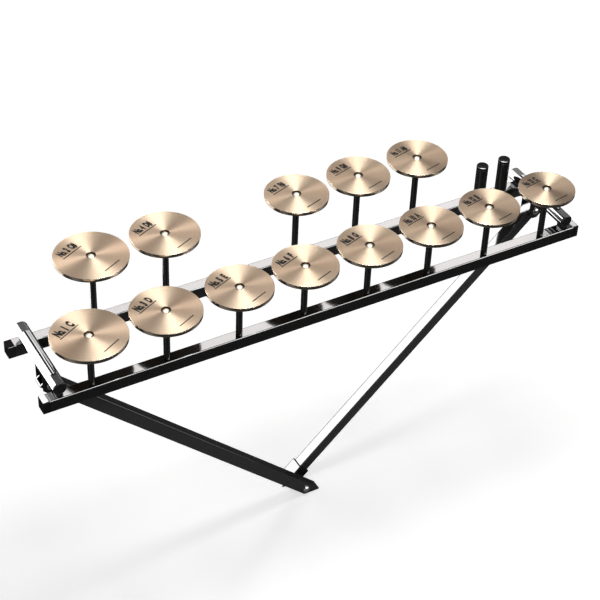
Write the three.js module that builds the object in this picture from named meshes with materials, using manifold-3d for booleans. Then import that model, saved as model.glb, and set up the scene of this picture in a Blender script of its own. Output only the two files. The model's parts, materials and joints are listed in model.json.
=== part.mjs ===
// Crotales: thirteen tuned bronze discs on two rails, over the upper part of their folding stand.
// Millimetres, +Z up, +X from the low discs to the high ones, +Y from front to back.
// The origin is the pivot where the two stand legs cross, midway between the rails.
import * as THREE from 'three';
import { mergeVertices } from 'three/addons/utils/BufferGeometryUtils.js';
import Module from 'manifold-3d';

const wasm = await Module();
wasm.setup();

// Rails: X is measured from the middle of the front row, Y from the front face, Z from the underside
const railLeft = 553;
const railRight = 543;
const railHeight = 25;
const railWidth = 23;
const railWall = 2;
const railPitch = 155.5;
const railCorner = 2;

// Plugs that close the rails
const capLength = 13;
const capSpigot = 13;

// Crossmembers: a round bar over the rails, set in from each of their ends, on a narrow foot on each rail.
// The bar's ends have a flat milled on top.
const leftInset = 32.5;
const rightInset = 32;
const barDiameter = 25;
const barRise = 20.5;
const flatRise = 11;
const flatLength = 28;
const footWidth = 11;

// Discs: their notes, their places along the rail from the middle of the front row, and their diameters
const frontNotes = ['c_low', 'd', 'e', 'f', 'g', 'a', 'b', 'c_high'];
const frontPlaces = [-460, -320, -181, -52, 78, 206.5, 332, 460];
const frontDiameters = [133, 126, 120, 119, 118, 116.5, 112.5, 105.5];
const backNotes = ['c_sharp', 'd_sharp', 'f_sharp', 'g_sharp', 'a_sharp'];
const backPlaces = [-387, -247.5, 14.5, 143.5, 270.5];
const backDiameters = [132.5, 125.5, 118.5, 118, 114.5];
const discThickness = 7;
const recessDiameter = 17;
const recessDepth = 4;
const discBore = 8;

// Posts, with a spigot in the rail, a felted seat under the disc and a stud through it
const frontPostHeight = 98.5;
const backPostHeight = 129;
const postDiameter = 12;
const spigotDiameter = 8;
const spigotLength = 10;
const seatDiameter = 20;
const seatThickness = 2.5;
const studDiameter = 6;
const studInNut = 3;

// Domed nut above each disc
const nutDiameter = 13;
const nutHeight = 4.2;

// Upright tubes at the right end of the back rail
const uprightPlaces = { left: 425, right: 475 };
const uprightDiameter = 23;
const uprightHeight = 65.5;
const uprightWall = 2;
const plugHeight = 6.5;
const plugSpigot = 12;

// Stand: where each leg hinges from the middle of its crossmember, and where the two legs cross
const leftHingeOffset = 3.5;
const rightHingeOffset = 2;
const hingeHeight = 4;
const crossingX = 2;
const crossingDepth = 500;
const legOverrun = 12;
const legCorner = 2;
const endDrop = 13;

// Left leg, a square tube
const leftLegSize = 25;
const leftLegY = 73.7;
const leftLegWall = 2;

// Right leg: an inner tube that slides in a sleeve
const innerHeight = 22.5;
const innerWidth = 23.5;
const innerWall = 2;
const rightLegY = 112.75;
const sleeveWall = 2.7;
const sleeveAbove = 23;

// Clevis brackets that hold the legs under the crossmembers
const cheekThickness = 3;
const webThickness = 3;
const clevisLength = 26;
const clevisDrop = 16;
const clevisChamfer = 8;

// Pins at the hinges and at the crossing, with a domed head in front
const pinDiameter = 8;
const headDiameter = 14;
const headHeight = 4.5;
const closingDiameter = 12;
const closingHeight = 2.5;
const spacerDiameter = 18;

// Clearances between still parts and between turning parts
const fitGap = 0.3;
const swingGap = 0.5;

// Sides of the turned shapes
const discSides = 24;
const postSides = 10;
const pinSides = 12;
const uprightSides = 16;
const barSides = 16;
const cornerSteps = 1;

// A dome, as shares of its radius and of its height
const domeShares = [[1, 0.3], [0.72, 0.8], [0, 1]];

// Worked out from the driving dimensions
const railTop = railHeight;
const barAxis = railTop + barRise;
const barUnderside = barAxis - (barDiameter / 2) * Math.cos(Math.PI / barSides);
const frameDepth = railPitch + railWidth;
const railMiddles = { front: railWidth / 2, back: railPitch + railWidth / 2 };
const hingeToBar = barUnderside - hingeHeight;
const crossmemberLeft = leftInset - railLeft;
const crossmemberRight = railRight - rightInset;
const leftHingeX = crossmemberLeft + leftHingeOffset;
const rightHingeX = crossmemberRight + rightHingeOffset;
const leftReach = crossingX - leftHingeX;
const rightReach = rightHingeX - crossingX;
const leftLegLength = Math.hypot(leftReach, crossingDepth);
const rightLegLength = Math.hypot(rightReach, crossingDepth);
const leftLegTurn = Math.atan2(crossingDepth, leftReach);
const rightLegTurn = Math.PI - Math.atan2(crossingDepth, rightReach);
const sleeveHeight = innerHeight + 2 * (swingGap + sleeveWall);
const sleeveWidth = innerWidth + 2 * (swingGap + sleeveWall);
const spacerLength = rightLegY - sleeveWidth / 2 - leftLegY - leftLegSize / 2 - 2 * fitGap;
const studLength = discThickness - recessDepth + studInNut;

// Past every tube and bracket that is cut through or cut off
const cutSize = railPitch + railWidth;

const paint = new THREE.MeshStandardMaterial({ color: 0x1c1b1a, roughness: 0.12, metalness: 0.3 });
const plastic = new THREE.MeshStandardMaterial({ color: 0x141414, roughness: 0.4, metalness: 0 });
const bronze = new THREE.MeshStandardMaterial({ color: 0xc9a27c, roughness: 0.3, metalness: 1 });
const brass = new THREE.MeshStandardMaterial({ color: 0xe2c27d, roughness: 0.12, metalness: 1 });
const steel = new THREE.MeshStandardMaterial({ color: 0xb8b8b4, roughness: 0.25, metalness: 1 });

// The same shape with shared vertices merged and flat triangles dropped
function closed(geometry) {
  const bare = new THREE.BufferGeometry();
  bare.setAttribute('position', geometry.getAttribute('position'));
  bare.setIndex(geometry.getIndex());
  const merged = mergeVertices(bare);
  const corners = merged.getIndex().array;
  const kept = [];
  for (let i = 0; i < corners.length; i += 3) {
    const [a, b, c] = corners.slice(i, i + 3);
    if (a !== b && b !== c && c !== a) kept.push(a, b, c);
  }
  merged.setIndex(kept);
  return merged;
}

function solidOf(geometry) {
  const merged = closed(geometry);
  const vertProperties = new Float32Array(merged.getAttribute('position').array);
  const triVerts = new Uint32Array(merged.getIndex().array);
  return new wasm.Manifold(new wasm.Mesh({ numProp: 3, vertProperties, triVerts }));
}

function geometryOf(solid) {
  const mesh = solid.getMesh();
  const geometry = new THREE.BufferGeometry();
  geometry.setAttribute('position', new THREE.BufferAttribute(mesh.vertProperties, 3));
  geometry.setIndex(new THREE.BufferAttribute(mesh.triVerts, 1));
  return geometry;
}

function cut(geometry, ...tools) {
  const start = solidOf(geometry);
  return geometryOf(tools.reduce((solid, tool) => solid.subtract(solidOf(tool)), start));
}

function join(first, second) {
  return geometryOf(solidOf(first).add(solidOf(second)));
}

// A turned shape about Z from [radius, height] points, listed upwards on the outside
function turned(outline, sides) {
  const points = outline.map(([radius, height]) => new THREE.Vector2(radius, height));
  return new THREE.LatheGeometry(points, sides).rotateX(Math.PI / 2);
}

function ring(bore, radius, bottom, top, sides) {
  return turned([[bore, bottom], [radius, bottom], [radius, top], [bore, top], [bore, bottom]], sides);
}

function rod(radius, bottom, top, sides) {
  return turned([[0, bottom], [radius, bottom], [radius, top], [0, top]], sides);
}

// A shape turned about Z is laid along +Y
function laidAlongY(geometry) {
  return geometry.rotateX(-Math.PI / 2);
}

// An outline drawn in Y and Z, carried along X
function extrudedAlongX(shape, from, to, steps) {
  const options = { depth: to - from, bevelEnabled: false, curveSegments: steps };
  const geometry = new THREE.ExtrudeGeometry(shape, options);
  geometry.rotateX(Math.PI / 2).rotateZ(Math.PI / 2);
  return geometry.translate(from, 0, 0);
}

// A straight-sided outline drawn in X and Z, carried along Y
function extrudedAlongY(shape, from, to) {
  const geometry = new THREE.ExtrudeGeometry(shape, { depth: to - from, bevelEnabled: false });
  return geometry.rotateX(Math.PI / 2).translate(0, to, 0);
}

// Rectangular bar along X about the X axis, with rounded corners if corner isn't 0
function rectangularBar(width, height, corner, from, to) {
  const y = width / 2 - corner;
  const z = height / 2 - corner;
  const quarter = Math.PI / 2;
  const shape = new THREE.Shape();
  const middles = [[y, -z], [y, z], [-y, z], [-y, -z]];
  middles.forEach((middle, i) => {
    if (corner > 0) shape.absarc(...middle, corner, (i - 1) * quarter, i * quarter);
    else if (i > 0) shape.lineTo(...middle);
    else shape.moveTo(...middle);
  });
  return extrudedAlongX(shape, from, to, cornerSteps);
}

function rectangularTube(width, height, wall, corner, from, to) {
  const outside = rectangularBar(width, height, corner, from, to);
  const inside = rectangularBar(width - 2 * wall, height - 2 * wall, 0, from - wall, to + wall);
  return cut(outside, inside);
}

function box(width, depth, height) {
  return new THREE.BoxGeometry(width, depth, height);
}

// Pin along +Y with a domed head in front of the origin and, on a riveted one, a flat head behind
function headedPin(length, riveted) {
  const radius = pinDiameter / 2;
  const dome = domeShares.map(([across, up]) => [across * headDiameter / 2, -up * headHeight]);
  const closing = [
    [closingDiameter / 2, length],
    [closingDiameter / 2, length + closingHeight],
    [0, length + closingHeight],
  ];
  const behind = riveted ? closing : [[0, length]];
  const outline = [...dome.reverse(), [headDiameter / 2, 0], [radius, 0], [radius, length], ...behind];
  return laidAlongY(turned(outline, pinSides));
}

// Rail along X, its underside at height 0, with a hole in its top for each post's spigot
function rail(postPlaces) {
  const left = capLength - railLeft;
  const right = railRight - capLength;
  const tube = rectangularTube(railWidth, railHeight, railWall, railCorner, left, right);
  const holes = postPlaces.map((along) => {
    return rod(spigotDiameter / 2 + fitGap, 0, railHeight, postSides).translate(along, 0, 0);
  });
  return cut(tube, ...holes).translate(0, 0, railHeight / 2);
}

// Rail plug pointing along +X from the end of the tube
function railCap() {
  const room = 2 * (railWall + fitGap);
  const block = rectangularBar(railWidth, railHeight, railCorner, 0, capLength);
  const spigot = rectangularBar(railWidth - room, railHeight - room, 0, -capSpigot, capLength / 2);
  return join(block, spigot).translate(0, 0, railHeight / 2);
}

// Round bar along Y from rail to rail, a flat side down, with its feet and its milled ends
function crossmember() {
  const round = rod(barDiameter / 2, 0, frameDepth, barSides).rotateZ(Math.PI / barSides);
  const foot = box(footWidth, railWidth, barRise).translate(0, railMiddles.front, -barRise / 2);
  const farFoot = foot.clone().translate(0, railPitch, 0);
  const flat = box(cutSize, 2 * flatLength, cutSize).translate(0, 0, flatRise + cutSize / 2);
  const farFlat = flat.clone().translate(0, frameDepth, 0);
  return cut(join(join(laidAlongY(round), foot), farFoot), flat, farFlat).translate(0, 0, barAxis);
}

// Folded bracket about the hinge axis: two cheeks and the web that is welded under the bar
function clevis(legWidth) {
  const half = clevisLength / 2;
  const shape = new THREE.Shape();
  shape.moveTo(-half, hingeToBar);
  shape.lineTo(-half, clevisChamfer - clevisDrop);
  shape.lineTo(clevisChamfer - half, -clevisDrop);
  shape.lineTo(half - clevisChamfer, -clevisDrop);
  shape.lineTo(half, clevisChamfer - clevisDrop);
  shape.lineTo(half, hingeToBar);
  const inside = legWidth / 2 + swingGap;
  const outside = inside + cheekThickness;
  const block = extrudedAlongY(shape, -outside, outside);
  const slotTop = hingeToBar - webThickness;
  const slot = box(cutSize, 2 * inside, cutSize).translate(0, 0, slotTop - cutSize / 2);
  const bore = laidAlongY(rod(pinDiameter / 2 + fitGap, -cutSize, cutSize, pinSides));
  return cut(block, slot, bore);
}

// Block that takes off what lies below the stand's end plane, in the frame of a turned leg
function endCutter(length, turn) {
  const cutter = box(cutSize, cutSize, cutSize).translate(0, 0, -endDrop - cutSize / 2);
  return cutter.rotateY(-turn).translate(length, 0, 0);
}

function crossBore(along) {
  const bore = laidAlongY(rod(pinDiameter / 2 + swingGap, -cutSize, cutSize, pinSides));
  return bore.translate(along, 0, 0);
}

// Left leg from its hinge at the origin along +X, past the crossing pivot to the end plane
function leftLeg() {
  const end = leftLegLength + cutSize / 2;
  const tube = rectangularTube(leftLegSize, leftLegSize, leftLegWall, legCorner, -legOverrun, end);
  return cut(tube, endCutter(leftLegLength, leftLegTurn), crossBore(0), crossBore(leftLegLength));
}

// Inner tube of the right leg from its hinge at the origin along +X
function rightLeg() {
  const end = rightLegLength + cutSize / 2;
  const tube = rectangularTube(innerWidth, innerHeight, innerWall, legCorner, -legOverrun, end);
  return cut(tube, endCutter(rightLegLength, rightLegTurn), crossBore(0));
}

// Outer tube at the lower end of the right leg
function legSleeve() {
  const from = rightLegLength - sleeveAbove;
  const end = rightLegLength + cutSize / 2;
  const tube = rectangularTube(sleeveWidth, sleeveHeight, sleeveWall, legCorner, from, end);
  return cut(tube, endCutter(rightLegLength, rightLegTurn));
}

function pivotSpacer() {
  return laidAlongY(ring(pinDiameter / 2 + fitGap, spacerDiameter / 2, 0, spacerLength, pinSides));
}

function disc(diameter) {
  const bore = discBore / 2;
  const recess = recessDiameter / 2;
  const floor = discThickness - recessDepth;
  const outline = [
    [bore, 0],
    [diameter / 2, 0],
    [diameter / 2, discThickness],
    [recess, discThickness],
    [recess, floor],
    [bore, floor],
    [bore, 0],
  ];
  return turned(outline, discSides);
}

// Post from the rail's top, with its spigot below, and its seat and stud above
function post(height) {
  const seatTop = height + seatThickness;
  const outline = [
    [0, -spigotLength],
    [spigotDiameter / 2, -spigotLength],
    [spigotDiameter / 2, 0],
    [postDiameter / 2, 0],
    [postDiameter / 2, height],
    [seatDiameter / 2, height],
    [seatDiameter / 2, seatTop],
    [studDiameter / 2, seatTop],
    [studDiameter / 2, seatTop + studLength],
    [0, seatTop + studLength],
  ];
  return turned(outline, postSides);
}

// Blind nut with a domed top, standing on the origin
function domedNut() {
  const bore = studDiameter / 2 + fitGap;
  const cavity = studInNut + fitGap;
  const dome = domeShares.map(([across, up]) => [across * nutDiameter / 2, up * nutHeight]);
  return turned([[0, cavity], [bore, cavity], [bore, 0], [nutDiameter / 2, 0], ...dome], postSides);
}

function uprightTube() {
  const radius = uprightDiameter / 2;
  return ring(radius - uprightWall, radius, 0, uprightHeight, uprightSides);
}

function uprightPlug() {
  const radius = uprightDiameter / 2;
  const inside = radius - uprightWall - fitGap;
  const outline = [
    [0, -plugSpigot],
    [inside, -plugSpigot],
    [inside, 0],
    [radius, 0],
    [radius, plugHeight],
    [0, plugHeight],
  ];
  return turned(outline, uprightSides);
}

function addPiece(parent, name, geometry, material, x = 0, y = 0, z = 0) {
  const mesh = new THREE.Mesh(closed(geometry), material);
  mesh.name = name;
  mesh.position.set(x, y, z);
  parent.add(mesh);
}

function addRails(bars) {
  addPiece(bars, 'rail_front', rail(frontPlaces), paint, 0, railMiddles.front);
  addPiece(bars, 'rail_back', rail(backPlaces), paint, 0, railMiddles.back);
  for (const [row, y] of Object.entries(railMiddles)) {
    const leftCap = railCap().rotateZ(Math.PI);
    addPiece(bars, `rail_cap_${row}_left`, leftCap, plastic, capLength - railLeft, y);
    addPiece(bars, `rail_cap_${row}_right`, railCap(), plastic, railRight - capLength, y);
  }
}

function addCrossmembers(bars) {
  addPiece(bars, 'crossmember_left', crossmember(), paint, crossmemberLeft);
  addPiece(bars, 'crossmember_right', crossmember(), paint, crossmemberRight);
}

// A row of discs, each with its post and its nut
function addRow(bars, notes, places, diameters, y, postHeight) {
  const underside = railTop + postHeight + seatThickness;
  const floor = underside + discThickness - recessDepth;
  notes.forEach((note, i) => {
    addPiece(bars, `post_${note}`, post(postHeight), paint, places[i], y, railTop);
    addPiece(bars, `disc_${note}`, disc(diameters[i]), bronze, places[i], y, underside);
    addPiece(bars, `nut_${note}`, domedNut(), brass, places[i], y, floor);
  });
}

function addUprights(bars) {
  for (const [side, x] of Object.entries(uprightPlaces)) {
    addPiece(bars, `upright_${side}`, uprightTube(), paint, x, railMiddles.back, railTop);
    const top = railTop + uprightHeight;
    addPiece(bars, `upright_plug_${side}`, uprightPlug(), plastic, x, railMiddles.back, top);
  }
}

// Clevis and hinge pin at one end of the frame
function addHinge(bars, side, hingeX, legY, legWidth) {
  const outside = legWidth / 2 + swingGap + cheekThickness + fitGap;
  const hinge = new THREE.Group();
  hinge.position.set(hingeX, legY, hingeHeight);
  bars.add(hinge);
  addPiece(hinge, `clevis_${side}`, clevis(legWidth), paint);
  addPiece(hinge, `hinge_pin_${side}`, headedPin(2 * outside, true), steel, 0, -outside);
}

function addLeftLeg(bars) {
  const leg = new THREE.Group();
  leg.position.set(leftHingeX, leftLegY, hingeHeight);
  leg.rotation.y = leftLegTurn;
  bars.add(leg);
  const side = leftLegSize / 2 + fitGap;
  addPiece(leg, 'leg_left', leftLeg(), paint);
  addPiece(leg, 'pivot_pin', headedPin(2 * side + spacerLength, false), steel, leftLegLength, -side);
  addPiece(leg, 'pivot_spacer', pivotSpacer(), plastic, leftLegLength, side);
}

function addRightLeg(bars) {
  const leg = new THREE.Group();
  leg.position.set(rightHingeX, rightLegY, hingeHeight);
  leg.rotation.y = rightLegTurn;
  bars.add(leg);
  addPiece(leg, 'leg_right', rightLeg(), paint);
  addPiece(leg, 'leg_sleeve', legSleeve(), paint);
}

const crotales = new THREE.Group();
const bars = new THREE.Group();
bars.position.set(-crossingX, -frameDepth / 2, crossingDepth - hingeHeight);
crotales.add(bars);
addRails(bars);
addCrossmembers(bars);
addRow(bars, frontNotes, frontPlaces, frontDiameters, railMiddles.front, frontPostHeight);
addRow(bars, backNotes, backPlaces, backDiameters, railMiddles.back, backPostHeight);
addUprights(bars);
addHinge(bars, 'left', leftHingeX, leftLegY, leftLegSize);
addHinge(bars, 'right', rightHingeX, rightLegY, innerWidth);
addLeftLeg(bars);
addRightLeg(bars);

export default crotales;
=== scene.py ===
"""Crotales, dressed for looks: thirteen bronze discs on two rails, over the upper part of their stand.

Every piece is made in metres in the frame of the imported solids, rides on one of their bodies, and
stands for the solid that it replaces.
"""

import json
from math import atan2, cos, hypot, pi, radians, sin

import bmesh
import bpy
from mathutils import Matrix, Vector

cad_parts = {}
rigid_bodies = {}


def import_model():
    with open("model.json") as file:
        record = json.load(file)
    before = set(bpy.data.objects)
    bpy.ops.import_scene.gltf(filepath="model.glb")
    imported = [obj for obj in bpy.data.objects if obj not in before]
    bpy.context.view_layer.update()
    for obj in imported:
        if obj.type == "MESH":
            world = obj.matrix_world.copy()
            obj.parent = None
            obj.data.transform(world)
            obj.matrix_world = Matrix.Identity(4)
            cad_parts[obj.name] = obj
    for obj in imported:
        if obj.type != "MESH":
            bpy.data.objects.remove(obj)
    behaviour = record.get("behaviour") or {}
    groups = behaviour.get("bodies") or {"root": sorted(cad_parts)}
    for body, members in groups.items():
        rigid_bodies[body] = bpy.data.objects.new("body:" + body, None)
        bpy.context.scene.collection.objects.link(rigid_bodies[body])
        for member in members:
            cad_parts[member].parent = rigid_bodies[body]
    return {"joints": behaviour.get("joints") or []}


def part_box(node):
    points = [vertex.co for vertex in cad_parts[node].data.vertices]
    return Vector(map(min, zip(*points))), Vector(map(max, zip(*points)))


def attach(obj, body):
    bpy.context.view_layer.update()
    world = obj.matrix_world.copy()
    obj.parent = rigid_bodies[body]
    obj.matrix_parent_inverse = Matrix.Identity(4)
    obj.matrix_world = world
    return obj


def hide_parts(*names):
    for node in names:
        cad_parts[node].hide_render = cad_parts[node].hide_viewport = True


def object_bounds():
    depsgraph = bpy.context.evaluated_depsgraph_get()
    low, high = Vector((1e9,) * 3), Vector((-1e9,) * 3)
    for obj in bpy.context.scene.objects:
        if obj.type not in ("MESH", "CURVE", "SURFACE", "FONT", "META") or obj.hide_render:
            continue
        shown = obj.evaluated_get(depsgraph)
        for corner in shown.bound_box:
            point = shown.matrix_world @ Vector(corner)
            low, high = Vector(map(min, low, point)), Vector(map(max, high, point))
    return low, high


bl_info = {
    "name": "Crotales",
    "version": (1, 0, 0),
    "blender": (4, 5, 0),
    "location": "3D View > Sidebar > Crotales",
    "description": "Builds the crotales, their stand and a plain studio",
    "category": "Add Mesh",
}

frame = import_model()
cad_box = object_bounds()

NOTES = {
    "c_low": "C", "c_sharp": "C#", "d": "D", "d_sharp": "D#", "e": "E", "f": "F", "f_sharp": "F#",
    "g": "G", "g_sharp": "G#", "a": "A", "a_sharp": "A#", "b": "B", "c_high": "C",
}
SIDES = ("left", "right")
ROWS = ("front", "back")
JOINTS = {joint["name"]: joint for joint in frame["joints"]}

# Flats round each turned shape, and across roundings
DISC_STEPS, BAR_STEPS, UPRIGHT_STEPS, SMALL_STEPS, FELT_STEPS = 160, 96, 72, 64, 48
BAR_END_STEPS, CORNER_STEPS, ROUND_STEPS, EDGE_STEPS, SEAT_STEPS = 6, 5, 4, 3, 2
# Degrees from flat to flat up a nut and up a pin's head
NUT_DEGREES, HEAD_DEGREES = 10, 9
# Small sizes in metres
CHAMFER, FINE_CHAMFER, PLUG_TIP, INNER_CORNER = 0.0005, 0.0003, 0.001, 0.0005
CAP_SEAM, NECK_ROUND, SEAT_ROUND, RIVET_ROUND, SPACER_ROUND = 0.0004, 0.0015, 0.0004, 0.0008, 0.0006
STUD_GAP, PIN_GAP, PLUG_GAP, BUSH_GAP, FOOT_INSET = 0.0002, 0.0003, 0.0003, 0.00005, 0.0003
BUSH_WALL, RIVET_STEP = 0.0002, 0.001
SAME_PLACE, SAME_POINT, JUST_BELOW = 1e-6, 1e-7, 0.00005
# Shares of a felt's and a bracket plate's thickness, and of the height of a nut and of a pin's head
FELT_ROUND, WEB_ROUND, NUT_HOLE, HEAD_SKIRT = 0.3, 0.45, 0.75, 0.2
# Slope of a plug's seam, and of the inside of its rim, as shares of their height and width
SEAM_SLOPE, RIM_SLOPE = 0.8, 1.2
# Share of a normal or an edge from which it lies along an axis, and below which it lies across it
ALONG, ACROSS = 0.99, 0.5
# Widest angle in degrees between two faces that are shaded as one
SMOOTH = 50
# A disc's marks in shares of its radius: the middle of the words, and start, end and place of both lines
WORDS_AT = (-0.21, 0.63)
LINES = ((-0.56, 0.14, 0.45), (-0.29, 0.29, -0.71))
# Turn of the marks in degrees at the middle of a rail, and its change along a metre of it
MARK_TURN, MARK_TURN_CHANGE = 19.0, -19.5
# Height of a capital, as a share of the size of its font
CAPITAL = 0.7


def kind_of(prop, **fixed):
    """A function that makes properties of a kind from a name, a description and a default."""
    def made(name, description, default):
        return prop(name=name, description=description, default=default, **fixed)
    return made


length = kind_of(bpy.props.FloatProperty, min=0.0, precision=4, unit="LENGTH")
share = kind_of(bpy.props.FloatProperty, min=0.0, max=1.0, subtype="FACTOR")
colour = kind_of(bpy.props.FloatVectorProperty, size=3, min=0.0, max=1.0, subtype="COLOR")


class CrotalesDiscSizes(bpy.types.PropertyGroup):
    rim_round: length("Rim rounding", "Rounding of the rims of a disc", 0.0005)
    recess_radius: length("Recess radius", "Radius of the recess round the nut", 0.0085)
    recess_depth: length("Recess depth", "Depth of the recess round the nut", 0.004)
    recess_round: length("Recess rounding", "Rounding of the edge of the recess", 0.0004)
    bore_radius: length("Bore radius", "Radius of the hole for the stud", 0.004)
    post_radius: length("Post radius", "Radius of a post", 0.006)
    spigot_radius: length("Spigot radius", "Radius of the spigot of a post", 0.004)
    stud_radius: length("Stud radius", "Radius of the stud through a disc", 0.003)
    seat_thickness: length("Seat thickness", "Thickness of a post's seat with its felt", 0.0025)
    felt_thickness: length("Felt thickness", "Thickness of the felt under a disc", 0.0015)
    nut_skirt: share("Nut skirt", "Straight part of a nut, as a share of its height", 0.3)
    print_height: share("Letter height", "Height of a disc's marks, as a share of its radius", 0.28)
    print_width: share("Letter width", "Width of a disc's marks, as a share of its radius", 0.62)
    print_bold: share("Letter boldness", "Growth of the strokes, as a share of their height", 0.11)
    print_lift: length("Print thickness", "Thickness of the printed ink", 0.00003)
    line_width: length("Line width", "Width of the two printed lines", 0.0021)


class CrotalesFrameSizes(bpy.types.PropertyGroup):
    rail_corner: length("Rail corner", "Outer corner radius of the rails", 0.002)
    rail_wall: length("Rail wall", "Wall thickness of the rails", 0.002)
    cap_edge: length("Cap edge", "Rounding of the edges of a rail cap", 0.0012)
    bar_radius: length("Bar radius", "Radius of the round crossmembers", 0.0125)
    bar_edge: length("Bar edge", "Rounding of the ends of a crossmember", 0.0028)
    flat_length: length("Flat length", "Length of the flats milled on a crossmember", 0.028)
    flat_rise: length("Flat rise", "Height of a milled flat above the middle of its bar", 0.011)
    foot_width: length("Foot width", "Width of a crossmember's foot on the rail", 0.011)
    foot_corner: length("Foot corner", "Corner radius of a foot", 0.0035)
    upright_wall: length("Upright wall", "Wall thickness of the uprights", 0.002)
    plug_edge: length("Plug edge", "Rounding of the top edge of a plug", 0.002)
    plug_rim: length("Plug rim", "Width of the raised rim on a plug", 0.004)
    plug_dish: length("Plug dish", "Depth of a plug's top below its rim", 0.0006)
    plate: length("Bracket plate", "Plate thickness of a clevis bracket", 0.003)
    plate_edge: length("Bracket edge", "Rounding of the edges of a bracket plate", 0.0006)
    plate_chamfer: length("Bracket chamfer", "Cut of the lower corners of a bracket", 0.008)


class CrotalesStandSizes(bpy.types.PropertyGroup):
    leg_corner: length("Leg corner", "Outer corner radius of the leg tubes", 0.0025)
    leg_wall: length("Leg wall", "Wall thickness of the leg tubes", 0.0035)
    left_size: length("Left leg", "Width and height of the left leg", 0.025)
    inner_height: length("Inner tube height", "Height of the sliding tube", 0.0225)
    inner_width: length("Inner tube width", "Width of the sliding tube", 0.0235)
    sleeve_wall: length("Sleeve wall", "Wall thickness of the sleeve", 0.0027)
    slide_gap: length("Sliding gap", "Gap between the sliding tube and its sleeve", 0.0005)
    sleeve_above: length("Sleeve mouth", "Distance of the sleeve's mouth above the pivot", 0.023)
    bush_length: length("Bush length", "Length of the sleeve's plastic bush", 0.004)
    overrun: length("Leg overrun", "Length of a leg past its hinge", 0.012)
    end_edge: length("Leg end edge", "Rounding of the rim at the upper end of a leg", 0.0013)
    pin_radius: length("Pin radius", "Radius of the pins", 0.004)
    head_radius: length("Pin head radius", "Radius of the heads of the pins", 0.007)
    head_height: length("Pin head height", "Height of the domed heads", 0.0045)
    rivet_height: length("Rivet height", "Height of the closing heads", 0.0025)


class CrotalesColours(bpy.types.PropertyGroup):
    bronze: colour("Bronze", "Turned bronze of the discs", (0.800, 0.590, 0.420))
    bronze_warm: colour("Warm bronze", "Warmer patches of the bronze", (0.700, 0.470, 0.320))
    brass: colour("Brass", "Polished nuts", (0.950, 0.860, 0.700))
    # Painted shade: the dark bronze put in the recess, the bore and under each disc
    bronze_painted_shade: colour("Dull bronze", "Dark bronze of recess and underside", (0.150, 0.105, 0.070))
    bronze_rim: colour("Polished rim", "Polished outer wall of the discs", (0.880, 0.760, 0.620))
    enamel: colour("Enamel", "Gloss black enamel of the frame", (0.018, 0.018, 0.017))
    enamel_dust: colour("Dust", "Fine dust on the enamel", (0.060, 0.058, 0.054))
    plastic: colour("Plastic", "Black plastic of caps and plugs", (0.008, 0.008, 0.008))
    steel: colour("Steel", "Plated steel of the pins", (0.620, 0.610, 0.590))
    # Also painted shade: near black inside the tubes, and a dark outline on the rim at a leg's end
    scale: colour("Mill scale", "Bare inside of the tubes", (0.012, 0.011, 0.010))
    felt: colour("Felt", "Felt under the discs", (0.035, 0.033, 0.030))
    ink: colour("Ink", "Printed note names", (0.012, 0.010, 0.009))
    floor: colour("Floor", "Studio floor", (0.820, 0.820, 0.820))


GROUPS = {
    "crotales_discs": CrotalesDiscSizes,
    "crotales_frame": CrotalesFrameSizes,
    "crotales_stand": CrotalesStandSizes,
    "crotales_colours": CrotalesColours,
}


# Shader maths


def maths(operation, reflected=False):
    """A method of Value that adds a Math node."""
    def method(value, other):
        pair = (other, value) if reflected else (value, other)
        return value.shader.value("Math", 0, {"operation": operation}, dict(enumerate(pair)))
    return method


class Value:
    """One number of a shader, which Python arithmetic turns into Math nodes."""

    def __init__(self, shader, socket):
        self.shader = shader
        self.socket = socket

    __add__, __radd__ = maths("ADD"), maths("ADD", True)
    __sub__, __rsub__ = maths("SUBTRACT"), maths("SUBTRACT", True)
    __mul__, __rmul__ = maths("MULTIPLY"), maths("MULTIPLY", True)
    __truediv__, __rtruediv__ = maths("DIVIDE"), maths("DIVIDE", True)


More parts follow.
